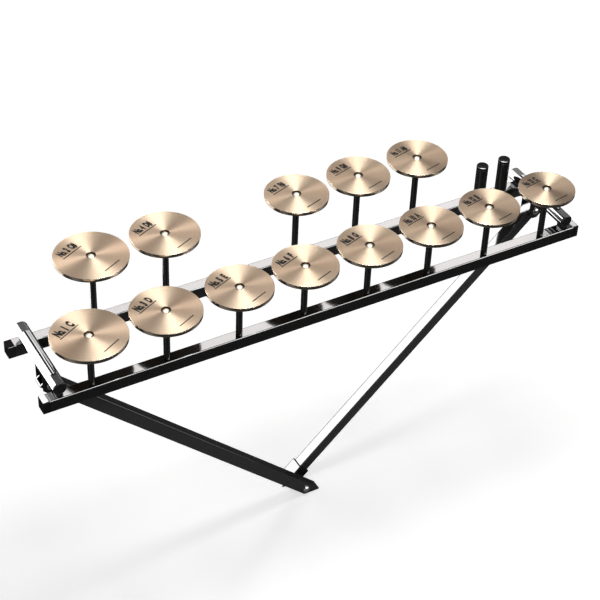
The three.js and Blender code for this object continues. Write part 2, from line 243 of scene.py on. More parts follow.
class Shader:
    """A node material, or a world, in the making."""

    def __init__(self, name, kept_in="materials"):
        self.made = getattr(bpy.data, kept_in).new(name)
        self.made.use_nodes = True
        self.tree = self.made.node_tree
        self.tree.nodes.clear()

    def node(self, kind, settings=None, inputs=None):
        made = self.tree.nodes.new("ShaderNode" + kind)
        for name, setting in (settings or {}).items():
            setattr(made, name, setting)
        for name, given in (inputs or {}).items():
            if isinstance(given, Value):
                self.tree.links.new(given.socket, made.inputs[name])
            else:
                made.inputs[name].default_value = given
        return made

    def value(self, kind, output, settings=None, inputs=None):
        return Value(self, self.node(kind, settings, inputs).outputs[output])

    def ramp(self, value, *stops):
        made = self.node("ValToRGB", None, {"Fac": value})
        elements = made.color_ramp.elements
        while len(elements) < len(stops):
            elements.new(1.0)
        for element, (place, level) in zip(elements, stops):
            element.position = place
            element.color = (level, level, level, 1.0)
        return Value(self, made.outputs["Color"])

    def noise(self, scale, detail, stretch=(1.0, 1.0, 1.0)):
        place = self.value("TexCoord", "Object")
        vector = self.value("Mapping", "Vector", None, {"Vector": place, "Scale": stretch})
        return self.value("TexNoise", 0, None, {"Vector": vector, "Scale": scale, "Detail": detail})

    def mix(self, share_of_second, first, second):
        colours = {6: opaque(first), 7: opaque(second), 0: share_of_second}
        return self.value("Mix", 2, {"data_type": "RGBA"}, colours)

    def varied(self, strength, shade, factor):
        """That shade, mixed by strength with the same shade times factor."""
        return self.mix(strength, shade, [factor * part for part in shade])

    def bump(self, height, distance, strength):
        inputs = {"Height": height, "Distance": distance, "Strength": strength}
        return self.value("Bump", "Normal", None, inputs)

    def surface(self, tone, roughness, relief=None, **others):
        """The material. Others are further inputs, with a _ for each space in their names."""
        inputs = {name.replace("_", " "): given for name, given in others.items()}
        inputs.update({"Base Color": opaque(tone), "Roughness": roughness})
        if relief:
            inputs["Normal"] = relief
        finish = self.value("BsdfPrincipled", "BSDF", {"distribution": "GGX"}, inputs)
        self.node("OutputMaterial", None, {"Surface": finish})
        return self.made


def opaque(given):
    return given if isinstance(given, Value) else (*given, 1.0)


def bronze_finish(colours):
    """Lathe-turned bronze: fine rings about each disc's own middle, a few wider ones, faint patches."""
    shader = Shader("turned bronze")
    flat = shader.value("UVMap", "UV", {"uv_map": "turning"})
    radius = shader.value("VectorMath", "Value", {"operation": "LENGTH"}, {0: flat})
    rings = {"noise_dimensions": "1D"}
    fine = shader.value("TexNoise", 0, rings, {"W": radius, "Scale": 3200.0, "Detail": 3.0})
    wide = shader.value("TexNoise", 0, rings, {"W": radius, "Scale": 260.0, "Detail": 2.0})
    patches = shader.noise(16.0, 3.0)
    specks = shader.ramp(shader.noise(700.0, 1.0), (0.66, 0.0), (0.74, 1.0))
    warmth = shader.ramp(patches * 0.75 + wide * 0.25, (0.40, 0.0), (0.62, 1.0))
    tone = shader.mix(warmth * 0.45 + fine * 0.12, colours.bronze, colours.bronze_warm)
    tone = shader.mix(specks * 0.10, tone, colours.bronze_warm)
    roughness = 0.47 + fine * 0.08 + wide * 0.06 + specks * 0.05
    relief = shader.bump(fine * 0.6 + wide * 0.4, 0.00001, 0.6)
    brushed = {"Anisotropic": 0.85, "Anisotropic_Rotation": 0.25}
    return shader.surface(tone, roughness, relief, Metallic=1.0, **brushed)


def rim_finish(colours):
    """Polished outer wall of a disc, with faint turning lines round it."""
    shader = Shader("polished bronze rim")
    lines = shader.noise(60.0, 2.0, (1.0, 1.0, 60.0))
    tone = shader.mix(lines * 0.4, colours.bronze_rim, colours.bronze)
    return shader.surface(tone, 0.10 + lines * 0.08, shader.bump(lines, 0.00001, 0.4), Metallic=1.0)


def painted_shade_finish(colours):
    """Painted shade on the bronze in the recess, the bore and underneath, darker again in random stains, with
    a fine grain.
    """
    shader = Shader("dull bronze")
    stains = shader.noise(90.0, 3.0)
    grain = shader.noise(1800.0, 2.0)
    tone = shader.varied(stains * 0.8, colours.bronze_painted_shade, 0.55)
    roughness = 0.48 + stains * 0.12 + grain * 0.05
    return shader.surface(tone, roughness, shader.bump(grain, 0.00002, 0.4), Metallic=1.0)


def brass_finish(colours):
    """Polished brass with a faint haze and fine scratches."""
    shader = Shader("polished brass")
    haze = shader.noise(350.0, 3.0)
    scratches = shader.ramp(shader.noise(900.0, 1.0, (1.0, 0.08, 1.0)), (0.60, 0.0), (0.70, 1.0))
    tone = shader.varied(haze * 0.35 + scratches * 0.15, colours.brass, 0.8)
    roughness = 0.38 + haze * 0.08 + scratches * 0.06
    return shader.surface(tone, roughness, shader.bump(haze, 0.00002, 0.4), Metallic=1.0)


def enamel_finish(colours):
    """Gloss black enamel: fine orange peel, a little settled dust, faint handling marks."""
    shader = Shader("gloss black enamel")
    peel = shader.noise(420.0, 2.0)
    swell = shader.noise(38.0, 1.0)
    clouds = shader.noise(9.0, 3.0)
    specks = shader.ramp(shader.noise(1500.0, 0.0), (0.70, 0.0), (0.76, 1.0))
    dust = shader.ramp(clouds, (0.45, 0.0), (0.75, 1.0)) * specks
    tone = shader.mix(dust * 0.6, colours.enamel, colours.enamel_dust)
    roughness = 0.045 + peel * 0.03 + clouds * 0.03 + dust * 0.15
    return shader.surface(tone, roughness, shader.bump(peel * 0.15 + swell * 0.85, 0.00004, 0.5), IOR=1.9)


def milled_finish(colours):
    """Flat milled on the bar and painted thinly, duller than the enamel, with fine cutter marks across it."""
    shader = Shader("thin paint on a milled flat")
    marks = shader.noise(90.0, 2.0, (1.0, 30.0, 1.0))
    clouds = shader.noise(30.0, 3.0)
    tone = shader.mix(marks * 0.5 + clouds * 0.3, colours.enamel, colours.enamel_dust)
    roughness = 0.34 + marks * 0.10 + clouds * 0.06
    return shader.surface(tone, roughness, shader.bump(marks, 0.00002, 0.5), IOR=1.45)


def plastic_finish(colours):
    """Moulded black plastic with a fine grain."""
    shader = Shader("moulded black plastic")
    grain = shader.noise(2600.0, 1.0)
    wear = shader.noise(60.0, 3.0)
    tone = shader.varied(wear * 0.5, colours.plastic, 2.2)
    return shader.surface(tone, 0.09 + wear * 0.08 + grain * 0.03, shader.bump(grain, 0.00003, 0.5), IOR=1.7)


def steel_finish(colours):
    """Zinc-plated steel with a soft spangle."""
    shader = Shader("plated steel")
    spangle = shader.noise(500.0, 3.0)
    tone = shader.varied(spangle * 0.6, colours.steel, 0.72)
    return shader.surface(tone, 0.16 + spangle * 0.16, shader.bump(spangle, 0.00003, 0.4), Metallic=1.0)


def bare_and_shade_finish(colours):
    """Unpainted mill scale inside the tubes, darkened to near black as painted shade, and a painted dark
    outline on the rounded rim at a leg's end.
    """
    shader = Shader("mill scale")
    scale = shader.noise(120.0, 3.0, (0.2, 1.0, 1.0))
    tone, relief = shader.varied(scale, colours.scale, 2.2), shader.bump(scale, 0.00005, 0.4)
    return shader.surface(tone, 0.75 + scale * 0.15, relief, Specular_IOR_Level=0.1)


def grained_finish(colours):
    """End face of a moulded cap, with a coarse grain."""
    shader = Shader("grained black plastic")
    grain = shader.noise(1100.0, 2.0)
    tone, relief = shader.varied(grain, colours.plastic, 2.0), shader.bump(grain, 0.00006, 0.6)
    return shader.surface(tone, 0.40 + grain * 0.12, relief, IOR=1.4)


def felt_finish(colours):
    """Dense wool felt."""
    shader = Shader("wool felt")
    fibres = shader.noise(2400.0, 4.0, (1.0, 1.0, 0.4))
    tone, relief = shader.varied(fibres, colours.felt, 2.4), shader.bump(fibres, 0.0002, 0.8)
    return shader.surface(tone, 0.85 + fibres * 0.1, relief, Sheen_Weight=0.35)


def ink_finish(colours):
    """Screen-printed ink, a little worn."""
    shader = Shader("printed ink")
    wear = shader.noise(1400.0, 2.0)
    tone = shader.varied(shader.ramp(wear, (0.45, 0.0), (0.75, 1.0)), colours.ink, 2.0)
    return shader.surface(tone, 0.55 + wear * 0.12, shader.bump(wear, 0.00002, 0.3), Specular_IOR_Level=0.25)


FINISHES = {
    "bronze": bronze_finish, "rim": rim_finish, "painted_shade": painted_shade_finish, "brass": brass_finish,
    "paint": enamel_finish, "milled": milled_finish, "plastic": plastic_finish, "steel": steel_finish,
    "bare_and_shade": bare_and_shade_finish, "grained": grained_finish, "felt": felt_finish, "ink": ink_finish,
}


def finish_of(kind):
    """The material of that kind, made on first use."""
    made = bpy.context.scene.get("crotales_" + kind)
    if made is None:
        made = FINISHES[kind](bpy.context.scene.crotales_colours)
        bpy.context.scene["crotales_" + kind] = made
    return made


# Meshes


def link(made):
    bpy.context.scene.collection.objects.link(made)


def add_piece(name, bm, kinds, body, *nodes, flats=True):
    """Turns bm into a piece on a body, its finishes in the order of its material indices. With flats its
    wide faces stay flat next to rounded edges."""
    mesh = bpy.data.meshes.new(name)
    bm.to_mesh(mesh)
    bm.free()
    mesh.shade_smooth()
    mesh.set_sharp_from_angle(angle=radians(SMOOTH))
    for finish in kinds:
        mesh.materials.append(finish_of(finish))
    piece = bpy.data.objects.new(name, mesh)
    link(piece)
    if flats:
        weighted = piece.modifiers.new("flat faces", "WEIGHTED_NORMAL")
        weighted.keep_sharp = True
    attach(piece, body)
    if nodes:
        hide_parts(*nodes)


def bounds_of(node):
    """Lowest corner, highest corner and middle of a solid."""
    low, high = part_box(node)
    return low, high, (low + high) / 2


def turned(outline, steps, closed=False):
    """A shape turned about Z from points of radius and height."""
    bm = bmesh.new()
    points = [bm.verts.new((radius, 0.0, height)) for radius, height in outline]
    pairs = list(zip(points, points[1:]))
    if closed:
        pairs.append((points[-1], points[0]))
    lines = [bm.edges.new(pair) for pair in pairs]
    whole = {"axis": (0, 0, 1), "cent": (0, 0, 0), "angle": 2 * pi, "use_merge": True}
    bmesh.ops.spin(bm, geom=points + lines, steps=steps, **whole)
    bmesh.ops.remove_doubles(bm, verts=bm.verts, dist=SAME_POINT)
    bmesh.ops.recalc_face_normals(bm, faces=bm.faces)
    return bm


def moved(bm, matrix):
    bmesh.ops.transform(bm, matrix=matrix, verts=bm.verts)
    return bm


def shifted(bm, x, y, z):
    return moved(bm, Matrix.Translation((x, y, z)))


def laid(bm, start):
    """Turns a shape about Z into one about Y that begins at that depth."""
    return moved(bm, Matrix.Translation((0.0, start, 0.0)) @ Matrix.Rotation(-pi / 2, 4, "X"))


def arc(middle, radius, start, end, steps):
    """Points on an arc, the angles in degrees."""
    angles = [radians(start + (end - start) * i / steps) for i in range(steps + 1)]
    return [(middle[0] + radius * cos(angle), middle[1] + radius * sin(angle)) for angle in angles]


def soft_wall(radius, low, high, soft, steps):
    """Outline of a wall between two heights, both its edges rounded."""
    edges = ((low + soft, -90, 0), (high - soft, 0, 90))
    return [point for z, start, end in edges for point in arc((radius - soft, z), soft, start, end, steps)]


def rounded(bm, edges, width, segments):
    kept = {"offset_type": "OFFSET", "profile": 0.5, "affect": "EDGES", "material": -1}
    sizes = {"offset": width, "segments": segments, "clamp_overlap": True}
    return bmesh.ops.bevel(bm, geom=list(edges), **sizes, **kept)["faces"]


def block(low, high):
    bm = bmesh.new()
    bmesh.ops.create_cube(bm, size=1.0)
    size = [b - a for a, b in zip(low, high)]
    middle = [(a + b) / 2 for a, b in zip(low, high)]
    return moved(bm, Matrix.LocRotScale(Vector(middle), None, Vector(size)))


def edges_along(bm, axis):
    """Edges that run along an axis, 0 for X."""
    def runs(edge):
        way = edge.verts[1].co - edge.verts[0].co
        return abs(way[axis]) > ALONG * way.length
    return [edge for edge in bm.edges if runs(edge)]


def tube(width, height, corner, wall, start, end, floor=None, soft=0.0):
    """Rectangular tube about the X axis, its inner walls of the second finish with painted shade, the rim at
    its start rounded by soft and given the second finish as a painted dark outline. floor is (point, downward
    normal) of a slanting cut."""
    bm = block((start, -width / 2, -height / 2), (end, width / 2, height / 2))
    bm.normal_update()
    ends = [face for face in bm.faces if abs(face.normal.x) > ALONG]
    bmesh.ops.inset_individual(bm, faces=ends, thickness=wall, use_even_offset=True)
    loops = [edge for face in ends for edge in face.edges]
    bmesh.ops.delete(bm, geom=ends, context="FACES_ONLY")
    for face in bmesh.ops.bridge_loops(bm, edges=loops)["faces"]:
        face.material_index = 1
    if floor:
        point, down = floor
        for vert in bm.verts:
            if vert.co.x > start + SAME_PLACE:
                vert.co.x = (down.dot(point) - down.y * vert.co.y - down.z * vert.co.z) / down.x
    lengthwise = edges_along(bm, 0)
    outer = [edge for edge in lengthwise if abs(edge.verts[0].co.y) > width / 2 - SAME_PLACE]
    inner = [edge for edge in lengthwise if edge not in outer]
    rounded(bm, outer, corner, CORNER_STEPS)
    rounded(bm, inner, max(corner - wall, INNER_CORNER), EDGE_STEPS)
    bmesh.ops.recalc_face_normals(bm, faces=bm.faces)
    if soft > 0:
        walls = {face for face in bm.faces if abs(face.normal.x) < ACROSS and face.material_index == 0}
        near = [face for face in bm.faces if face.normal.x < -ALONG]
        rim = {edge for face in near for edge in face.edges if walls.intersection(edge.link_faces)}
        # The rounded rim takes the second finish as a painted dark outline
        for face in rounded(bm, rim, soft, EDGE_STEPS):
            face.material_index = 1
    return bm


def joined(first, *others):
    """Adds the meshes of others to first."""
    for other in others:
        spare = bpy.data.meshes.new("spare")
        other.to_mesh(spare)
        other.free()
        first.from_mesh(spare)
        bpy.data.meshes.remove(spare)
    return first


def face_at(bm, x):
    """The face whose middle is nearest to that X."""
    return min(bm.faces, key=lambda face: abs(face.calc_center_median().x - x))


def plate(outline, front, back, edge):
    """Flat plate between two depths, from an outline in X and Z, with its long edges rounded."""
    bm = bmesh.new()
    face = bm.faces.new([bm.verts.new((x, front, z)) for x, z in outline])
    grown = bmesh.ops.extrude_face_region(bm, geom=[face])["geom"]
    raised = [part for part in grown if isinstance(part, bmesh.types.BMVert)]
    bmesh.ops.translate(bm, vec=(0.0, back - front, 0.0), verts=raised)
    bmesh.ops.recalc_face_normals(bm, faces=bm.faces)
    across = set(edges_along(bm, 1))
    rounded(bm, [rim for rim in bm.edges if rim not in across], edge, EDGE_STEPS)
    return bm


def mark_turning(bm, middle):
    """Writes each point's place from the disc's middle, in metres, to the UV map that the rings read."""
    layer = bm.loops.layers.uv.new("turning")
    for face in bm.faces:
        for loop in face.loops:
            loop[layer].uv = (loop.vert.co.x - middle.x, loop.vert.co.y - middle.y)


# Pieces


def make_disc(note, sizes):
    low, high, middle = bounds_of("disc_" + note)
    radius, thickness = (high.x - low.x) / 2, high.z - low.z
    rim, lip, floor = sizes.rim_round, sizes.recess_round, thickness - sizes.recess_depth
    bore, recess, inset = sizes.bore_radius, sizes.recess_radius, radius - 4 * rim
    wall = soft_wall(radius, 0.0, thickness, rim, ROUND_STEPS)
    edge = arc((recess + lip, thickness - lip), lip, 90, 180, EDGE_STEPS)
    outline = [(bore, 0.0), (inset, 0.0), *wall, (inset, thickness), (recess + 4 * lip, thickness)]
    outline += [*edge, (recess, floor), (bore, floor)]
    bm = turned(outline, DISC_STEPS, closed=True)
    shifted(bm, middle.x, middle.y, high.z - thickness)
    mark_turning(bm, middle)
    # Outer walls take the polished rim; faces below the top, in the recess, the bore and underneath, take
    # painted shade
    for face in bm.faces:
        place = face.calc_center_median()
        out = place - middle
        if abs(face.normal.z) < 0.9 and hypot(out.x, out.y) > radius / 2:
            face.material_index = 1
        elif place.z < high.z - JUST_BELOW:
            face.material_index = 2
    add_piece("bronze_" + note, bm, ("bronze", "rim", "painted_shade"), "frame", "disc_" + note, flats=False)


def make_nut(note, sizes):
    low, high, middle = bounds_of("nut_" + note)
    radius, height = (high.x - low.x) / 2, high.z - low.z
    skirt, hole, inner = sizes.nut_skirt * height, NUT_HOLE * height, sizes.stud_radius + STUD_GAP
    outline = [(0.0, hole), (inner, hole), (inner, 0.0), (radius - FINE_CHAMFER, 0.0), (radius, FINE_CHAMFER)]
    for angle in range(0, 90, NUT_DEGREES):
        turn = radians(angle)
        outline.append((radius * cos(turn), skirt + (height - skirt) * sin(turn)))
    bm = shifted(turned([*outline, (0.0, height)], SMALL_STEPS), middle.x, middle.y, low.z)
    add_piece("dome_" + note, bm, ("brass",), "frame", "nut_" + note)


def make_post(note, sizes):
    low, high, middle = bounds_of("post_" + note)
    rail_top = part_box("rail_front")[1].z
    seat_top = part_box("disc_" + note)[0].z - sizes.felt_thickness
    seat_low = seat_top - (sizes.seat_thickness - sizes.felt_thickness)
    seat, post, spigot, stud = (high.x - low.x) / 2, sizes.post_radius, sizes.spigot_radius, sizes.stud_radius
    outline = [
        (0.0, low.z), (spigot - CHAMFER, low.z), (spigot, low.z + CHAMFER), (spigot, rail_top),
        (post - CHAMFER, rail_top), (post, rail_top + CHAMFER),
        *arc((post + NECK_ROUND, seat_low - NECK_ROUND), NECK_ROUND, 180, 90, ROUND_STEPS),
        *arc((seat - SEAT_ROUND, seat_low + SEAT_ROUND), SEAT_ROUND, -90, 0, SEAT_STEPS),
        (seat, seat_top), (stud, seat_top), (stud, high.z - CHAMFER), (stud - CHAMFER, high.z), (0.0, high.z),
    ]
    bm = shifted(turned(outline, SMALL_STEPS), middle.x, middle.y, 0.0)
    add_piece("rod_" + note, bm, ("paint",), "frame", "post_" + note)


def make_felt(note, sizes):
    low, high, middle = bounds_of("post_" + note)
    top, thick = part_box("disc_" + note)[0].z, sizes.felt_thickness
    bottom, bore = top - thick, sizes.stud_radius + STUD_GAP
    wall = soft_wall((high.x - low.x) / 2, bottom, top, thick * FELT_ROUND, EDGE_STEPS)
    bm = turned([(bore, bottom), *wall, (bore, top)], FELT_STEPS, closed=True)
    add_piece("felt_" + note, shifted(bm, middle.x, middle.y, 0.0), ("felt",), "frame")


def lettering(words, width, height, thickness, bold):
    """Letters in a box of that size on the ground, about the origin, their strokes grown by bold."""
    text = bpy.data.objects.new("letters", bpy.data.curves.new("letters", "FONT"))
    text.data.body = words
    text.data.size = height / CAPITAL
    text.data.fill_mode = "BOTH"
    text.data.bevel_depth = bold
    text.data.bevel_resolution = 0
    link(text)
    shape = text.evaluated_get(bpy.context.evaluated_depsgraph_get())
    bm = bmesh.new()
    bm.from_mesh(shape.to_mesh())
    shape.to_mesh_clear()
    bpy.data.objects.remove(text)
    bmesh.ops.remove_doubles(bm, verts=bm.verts, dist=SAME_PLACE)
    low, high = (Vector([pick(v.co[i] for v in bm.verts) for i in range(3)]) for pick in (min, max))
    size, middle = high - low, (low + high) / 2
    fitted = Matrix.Diagonal((width / size.x, height / size.y, thickness / size.z, 1.0))
    return moved(bm, fitted @ Matrix.Translation((-middle.x, -middle.y, -low.z)))


def make_mark(number, note, sizes):
    """Note name and number, over a thin line, and a second line on the other side of the nut."""
    low, high, middle = bounds_of("disc_" + note)
    radius, lift, half = (high.x - low.x) / 2, sizes.print_lift, sizes.line_width / 2
    width, height = sizes.print_width * radius, sizes.print_height * radius
    words = lettering(f"No. {number}  {NOTES[note]}", width, height, lift, sizes.print_bold * height)
    shifted(words, WORDS_AT[0] * radius, WORDS_AT[1] * radius, 0.0)
    lines = [
        block((start * radius, place * radius - half, 0.0), (end * radius, place * radius + half, lift))
        for start, end, place in LINES
    ]
    turn = Matrix.Rotation(radians(MARK_TURN + MARK_TURN_CHANGE * middle.x), 4, "Z")
    bm = moved(joined(words, *lines), Matrix.Translation((middle.x, middle.y, high.z)) @ turn)
    add_piece("print_" + note, bm, ("ink",), "frame", flats=False)


def make_rail(row, sizes):
    low, high, middle = bounds_of("rail_" + row)
    size = high - low
    bm = tube(size.y, size.z, sizes.rail_corner, sizes.rail_wall, low.x, high.x)
    add_piece("tube_" + row, shifted(bm, 0.0, middle.y, middle.z), ("paint", "bare_and_shade"), "frame", "rail_" + row)


def make_rail_cap(row, side, sizes):
    node = f"rail_cap_{row}_{side}"
    low, high, middle = bounds_of(node)
    rail_low, rail_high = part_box("rail_" + row)
    seam, outer = (rail_low.x, low.x) if side == "left" else (rail_high.x, high.x)
    half = (high - low) / 2
    bm = block((min(seam, outer), -half.y, -half.z), (max(seam, outer), half.y, half.z))
    rounded(bm, edges_along(bm, 0), sizes.rail_corner, CORNER_STEPS)
    rounded(bm, face_at(bm, outer).edges, sizes.cap_edge, ROUND_STEPS)
    rounded(bm, face_at(bm, seam).edges, CAP_SEAM, 1)
    for face in bm.faces:
        if abs(face.calc_center_median().x - outer) < SAME_PLACE:
            face.material_index = 1
    shifted(bm, 0.0, middle.y, middle.z)
    add_piece(f"cap_{row}_{side}", bm, ("plastic", "grained"), "frame", node)


def bar_length(radius, soft, start, end):
    """Round bar about the Y axis between two depths, with its two ends rounded by soft."""
    span, (front, back) = end - start, soft
    outline = [(0.0, 0.0), *arc((radius - front, front), front, -90, 0, BAR_END_STEPS)]
    outline += [*arc((radius - back, span - back), back, 0, 90, BAR_END_STEPS), (0.0, span)]
    return laid(turned(outline, BAR_STEPS), start)


def milled(bm, rise):
    """Takes off what stands above rise, and gives the flat the second finish."""
    everything = bm.verts[:] + bm.edges[:] + bm.faces[:]
    bmesh.ops.bisect_plane(bm, geom=everything, plane_co=(0, 0, rise), plane_no=(0, 0, 1), clear_outer=True)
    rim = [edge for edge in bm.edges if edge.is_boundary]
    for face in bmesh.ops.contextual_create(bm, geom=rim)["faces"]:
        face.material_index = 1
    bmesh.ops.recalc_face_normals(bm, faces=bm.faces)
    return bm


def make_crossmember(side, sizes):
    """Round bar on a narrow rounded foot on each rail, with a flat milled on top of both ends."""
    low, high, middle = bounds_of("crossmember_" + side)
    rail_low, rail_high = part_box("rail_front")
    radius, soft, span = sizes.bar_radius, sizes.bar_edge, rail_high.y - rail_low.y - 2 * FOOT_INSET
    axis, half = high.z - radius, sizes.foot_width / 2
    inner = (low.y + sizes.flat_length, high.y - sizes.flat_length)
    bar = bar_length(radius, (0.0, 0.0), *inner)
    front = milled(bar_length(radius, (soft, 0.0), low.y, inner[0]), sizes.flat_rise)
    back = milled(bar_length(radius, (0.0, soft), inner[1], high.y), sizes.flat_rise)
    shifted(joined(bar, front, back), middle.x, 0.0, axis)
    for start in (low.y + FOOT_INSET, high.y - FOOT_INSET - span):
        foot = block((middle.x - half, start, low.z), (middle.x + half, start + span, axis))
        rounded(foot, edges_along(foot, 2), sizes.foot_corner, CORNER_STEPS)
        joined(bar, foot)
    add_piece("bridge_" + side, bar, ("paint", "milled"), "frame", "crossmember_" + side)


def make_upright(side, sizes):
    low, high, middle = bounds_of("upright_" + side)
    radius, height = (high.x - low.x) / 2, high.z - low.z
    inner, shoulder = radius - sizes.upright_wall, height - FINE_CHAMFER
    edge = ((radius, shoulder), (radius - FINE_CHAMFER, height))
    outline = [(inner, 0.0), (radius, 0.0), *edge, (inner, height)]
    bm = shifted(turned(outline, UPRIGHT_STEPS, closed=True), middle.x, middle.y, low.z)
    add_piece("pipe_" + side, bm, ("paint",), "frame", "upright_" + side)


def make_upright_plug(side, sizes):
    low, high, middle = bounds_of("upright_plug_" + side)
    seam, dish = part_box("upright_" + side)[1].z, high.z - sizes.plug_dish
    radius, edge = (high.x - low.x) / 2, sizes.plug_edge
    inside = radius - sizes.upright_wall - PLUG_GAP
    outline = [
        (0.0, low.z), (inside - PLUG_TIP, low.z), (inside, low.z + PLUG_TIP), (inside, seam),
        (radius - SEAM_SLOPE * CHAMFER, seam), (radius, seam + CHAMFER),
        *arc((radius - edge, high.z - edge), edge, 0, 90, ROUND_STEPS),
        (radius - sizes.plug_rim, high.z), (radius - RIM_SLOPE * sizes.plug_rim, dish), (0.0, dish),
    ]
    bm = shifted(turned(outline, UPRIGHT_STEPS), middle.x, middle.y, 0.0)
    add_piece("plug_" + side, bm, ("plastic",), "frame", "upright_plug_" + side)


def make_clevis(side, sizes):
    """Two cheeks with cut lower corners under a web, all of one plate thickness."""
    low, high, _ = bounds_of("clevis_" + side)
    cut, edge, thick = sizes.plate_chamfer, sizes.plate_edge, sizes.plate
    left = [(low.x, high.z), (low.x, low.z + cut), (low.x + cut, low.z)]
    outline = [*left, (high.x - cut, low.z), (high.x, low.z + cut), (high.x, high.z)]
    web = block((low.x, low.y, high.z - thick), high)
    rounded(web, edges_along(web, 0), thick * WEB_ROUND, ROUND_STEPS)
    cheeks = [plate(outline, start, start + thick, edge) for start in (low.y, high.y - thick)]
    add_piece("bracket_" + side, joined(web, *cheeks), ("paint",), "frame", "clevis_" + side)


def pin(sizes, start, end, rivet):
    """Pin along +Y between two depths, with a domed head in front and, behind, a rivet or a plain end."""
    head, radius, rise = sizes.head_radius, sizes.pin_radius, sizes.head_height
    skirt, span = HEAD_SKIRT * rise, end - start
    turns = [radians(angle) for angle in range(HEAD_DEGREES, 91, HEAD_DEGREES)]
    dome = [(head * sin(turn), -skirt - (rise - skirt) * cos(turn)) for turn in turns]
    behind = [(radius, span - CHAMFER), (radius - CHAMFER, span), (0.0, span)]
    if rivet:
        wide, soft, back = head - RIVET_STEP, RIVET_ROUND, span + sizes.rivet_height
        edge = arc((wide - soft, back - soft), soft, 0, 90, EDGE_STEPS)
        behind = [(radius, span), (wide, span), *edge, (0.0, back)]
    outline = [(0.0, -rise), *dome, (head, 0.0), (radius, 0.0), *behind]
    return laid(turned(outline, SMALL_STEPS), start)


def hinge_of(side):
    return Vector(JOINTS[side + "_leg_fold"]["pos_m"])


def make_hinge_pin(side, sizes):
    low, high, _ = bounds_of("hinge_pin_" + side)
    hinge = hinge_of(side)
    bm = pin(sizes, low.y + sizes.head_height, high.y - sizes.rivet_height, True)
    add_piece("rivet_" + side, shifted(bm, hinge.x, 0.0, hinge.z), ("steel",), "frame", "hinge_pin_" + side)


def make_pivot_pin(sizes):
    low, high, _ = bounds_of("pivot_pin")
    bm = pin(sizes, low.y + sizes.head_height, high.y, False)
    add_piece("cross_pin", bm, ("steel",), "left_leg", "pivot_pin")


def make_pivot_spacer(sizes):
    low, high, _ = bounds_of("pivot_spacer")
    bore, span = sizes.pin_radius + PIN_GAP, high.y - low.y
    wall = soft_wall((high.z - low.z) / 2, 0.0, span, SPACER_ROUND, EDGE_STEPS)
    bm = laid(turned([(bore, 0.0), *wall, (bore, span)], SMALL_STEPS, closed=True), low.y)
    add_piece("cross_spacer", bm, ("plastic",), "left_leg", "pivot_spacer")


def leg_way(side):
    """Distance from the hinge to the crossing pivot at the origin, and the matrix of the leg's own X axis."""
    hinge = hinge_of(side)
    turn = atan2(-hinge.z, -hinge.x)
    place = Matrix.Translation(hinge) @ Matrix.Rotation(-turn, 4, "Y")
    return hypot(hinge.x, hinge.z), place


def make_leg(side, sizes, width, height, wall, start, name, body, node):
    """One leg tube from start down to the plane at which the stand is cut off."""
    reach, place = leg_way(side)
    back = place.inverted()
    floor = (back @ Vector((0.0, hinge_of(side).y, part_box(node)[0].z)), back.to_3x3() @ Vector((0, 0, -1)))
    bm = tube(width, height, sizes.leg_corner, wall, start, reach, floor, sizes.end_edge)
    add_piece(name, moved(bm, place), ("paint", "bare_and_shade"), body, node)


def mouth_of(sizes):
    """Place of the sleeve's mouth along the right leg."""
    return leg_way("right")[0] - sizes.sleeve_above


def make_bush(sizes):
    """Plastic lip in the mouth of the sleeve."""
    mouth, room = mouth_of(sizes), 2 * (sizes.slide_gap - BUSH_GAP)
    width, height = sizes.inner_width + room, sizes.inner_height + room
    bm = tube(width, height, sizes.leg_corner, BUSH_WALL, mouth, mouth + sizes.bush_length)
    for face in bm.faces:
        face.material_index = 0
    add_piece("sleeve_bush", moved(bm, leg_way("right")[1]), ("plastic",), "sleeve")


# Stage


def shown(shader):
    """1 for rays that see the studio itself: from the camera, off gloss and through glass."""
    path = shader.node("LightPath").outputs
    seen = [Value(shader, path[f"Is {kind} Ray"]) for kind in ("Camera", "Glossy", "Transmission")]
    return seen[0] + seen[1] + seen[2]


def sheet(name, finish, half_width, below):
    """A level square, a little below the lowest solid."""
    bm = bmesh.new()
    bmesh.ops.create_grid(bm, x_segments=1, y_segments=1, size=half_width)
    mesh = bpy.data.meshes.new(name)
    shifted(bm, 0.0, 0.0, cad_box[0][2] - below).to_mesh(mesh)
    bm.free()
    mesh.materials.append(finish)
    made = bpy.data.objects.new(name, mesh)
    link(made)
    return made


def make_floor(colours):
    """Matt floor that glows where the studio is seen, most of all far from the part."""
    shader = Shader("studio floor")
    place = shader.value("TexCoord", "Object")
    away = shader.value("VectorMath", "Value", {"operation": "LENGTH"}, {0: place})
    far = shader.ramp(away / 6.0, (0.10, 0.0), (0.75, 1.0))
    glow = {"Emission_Color": (1.0, 1.0, 1.0, 1.0), "Emission_Strength": shown(shader) * (0.66 + far * 0.34)}
    roughness = 0.9 + shader.noise(40.0, 2.0) * 0.05
    whole = shader.surface(colours.floor, roughness, Specular_IOR_Level=0.0, **glow)
    floor = sheet("studio_floor", whole, half_width=30.0, below=0.0005)


def make_card():
    """Dark card over the floor that only gloss sees, painting dark reflections, with a painted glow just in
    front of the legs that their front faces reflect.
    """
    shader = Shader("dark card")
    depth = shader.value("SeparateXYZ", "Y", None, {"Vector": shader.value("TexCoord", "Object")})
    # Painted glow, bright just in front of the legs, which the front faces of the stand reflect
    painted_glow = shader.ramp(depth * -1.0, (0.0, 0.1), (0.05, 1.0), (0.42, 1.0), (0.56, 0.1))
    tone = shader.mix(shader.noise(300.0, 2.0), (0.01, 0.01, 0.01), (0.02, 0.02, 0.02))
    dark = shader.surface(tone, 0.9, Emission_Color=painted_glow, Emission_Strength=0.13)
    card = sheet("studio_card", dark, half_width=6.0, below=0.0002)
    card.visible_camera = card.visible_diffuse = card.visible_shadow = False


